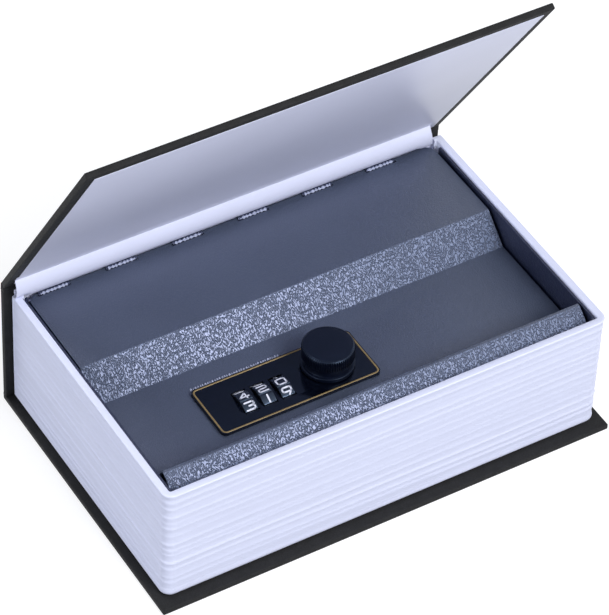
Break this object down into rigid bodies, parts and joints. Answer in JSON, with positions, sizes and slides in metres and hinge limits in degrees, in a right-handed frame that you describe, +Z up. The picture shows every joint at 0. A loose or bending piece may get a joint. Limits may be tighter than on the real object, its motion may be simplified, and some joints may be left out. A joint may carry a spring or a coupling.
{
  "type": "book diversion safe",
  "caption": "Book safe with an open hardback case, a moulded block of pages and a steel box whose bent lid has a number lock and a turning knob.",
  "frame": {"origin": "middle of the back cover's underside", "axes": "+X along the spine, +Y from the fore edge to the spine, +Z up through the closed book"},
  "size_m": [0.18, 0.116, 0.1568],
  "materials": {
    "leatherette": "black leatherette, fine grain",
    "greyboard": "plain greyboard",
    "white_paper": "white paper",
    "page_plastic": "white, ribbed like pages",
    "navy_steel": "navy powder coat",
    "grey_steel": "grey blue crinkle powder coat",
    "gloss_black": "gloss black with a gold line",
    "black_plastic": "black with white digits",
    "knob_plastic": "black, fine knurl",
    "zinc_cast": "raw die cast metal",
    "bright_steel": "bright zinc plated",
    "spring_steel": "bright spring steel"
  },
  "bodies": {
    "box": {"back_board": "greyboard", "back_wrap": "leatherette", "back_endpaper": "white_paper", "page_block": "page_plastic", "steel_box": "navy_steel", "strike_bracket": "navy_steel", "box_screw_1": "bright_steel", "box_screw_2": "bright_steel", "box_screw_3": "bright_steel", "box_screw_4": "bright_steel"},
    "spine": {"spine_board": "greyboard", "spine_wrap": "leatherette", "spine_lining": "white_paper"},
    "cover": {"front_board": "greyboard", "front_wrap": "leatherette", "front_endpaper": "white_paper"},
    "lid": {"lid_panel": "grey_steel", "lock_faceplate": "gloss_black", "lock_housing": "zinc_cast", "wheel_axle": "bright_steel", "detent_spring": "spring_steel", "lock_base_plate": "bright_steel", "lock_screw_1": "bright_steel", "lock_screw_2": "bright_steel", "lock_screw_3": "bright_steel", "lock_screw_4": "bright_steel"},
    "knob": {"knob_cap": "knob_plastic", "knob_spindle": "bright_steel", "latch_tongue": "bright_steel", "tongue_nut": "bright_steel"},
    "wheel_1": {"number_wheel_1": "black_plastic", "gate_sleeve_1": "zinc_cast"},
    "wheel_2": {"number_wheel_2": "black_plastic", "gate_sleeve_2": "zinc_cast"},
    "wheel_3": {"number_wheel_3": "black_plastic", "gate_sleeve_3": "zinc_cast"},
    "reset": {"reset_lever": "bright_steel"}
  },
  "joints": [
    {"name": "spine_fold", "type": "hinge", "parent": "box", "child": "spine", "pos_m": [0, 0.058, 0], "axis": [-1, 0, 0], "range_deg": [0, 90]},
    {"name": "cover_fold", "type": "hinge", "parent": "spine", "child": "cover", "pos_m": [0, 0.058, 0.0565], "axis": [-1, 0, 0], "range_deg": [-58.6, 31.4]},
    {"name": "lid_hinge", "type": "hinge", "parent": "box", "child": "lid", "pos_m": [0, 0.05335, 0.0496], "axis": [-1, 0, 0], "range_deg": [0, 100]},
    {"name": "knob_turn", "type": "hinge", "parent": "lid", "child": "knob", "pos_m": [-0.00355, -0.0174, 0.0418], "axis": [0, 0, 1], "range_deg": [-90, 0]},
    {"name": "wheel_turn_1", "type": "hinge", "parent": "lid", "child": "wheel_1", "pos_m": [-0.03715, -0.0191, 0.0365], "axis": [1, 0, 0], "continuous": true},
    {"name": "wheel_turn_2", "type": "hinge", "parent": "lid", "child": "wheel_2", "pos_m": [-0.02985, -0.0191, 0.0365], "axis": [1, 0, 0], "continuous": true},
    {"name": "wheel_turn_3", "type": "hinge", "parent": "lid", "child": "wheel_3", "pos_m": [-0.02255, -0.0191, 0.0365], "axis": [1, 0, 0], "continuous": true},
    {"name": "reset_slide", "type": "slide", "parent": "lid", "child": "reset", "axis": [1, 0, 0], "range_m": [0, 0.003]}
  ],
  "couplings": [
    {"joint": "spine_fold", "follows": "lid_hinge", "ratio": 0.9}
  ]
}
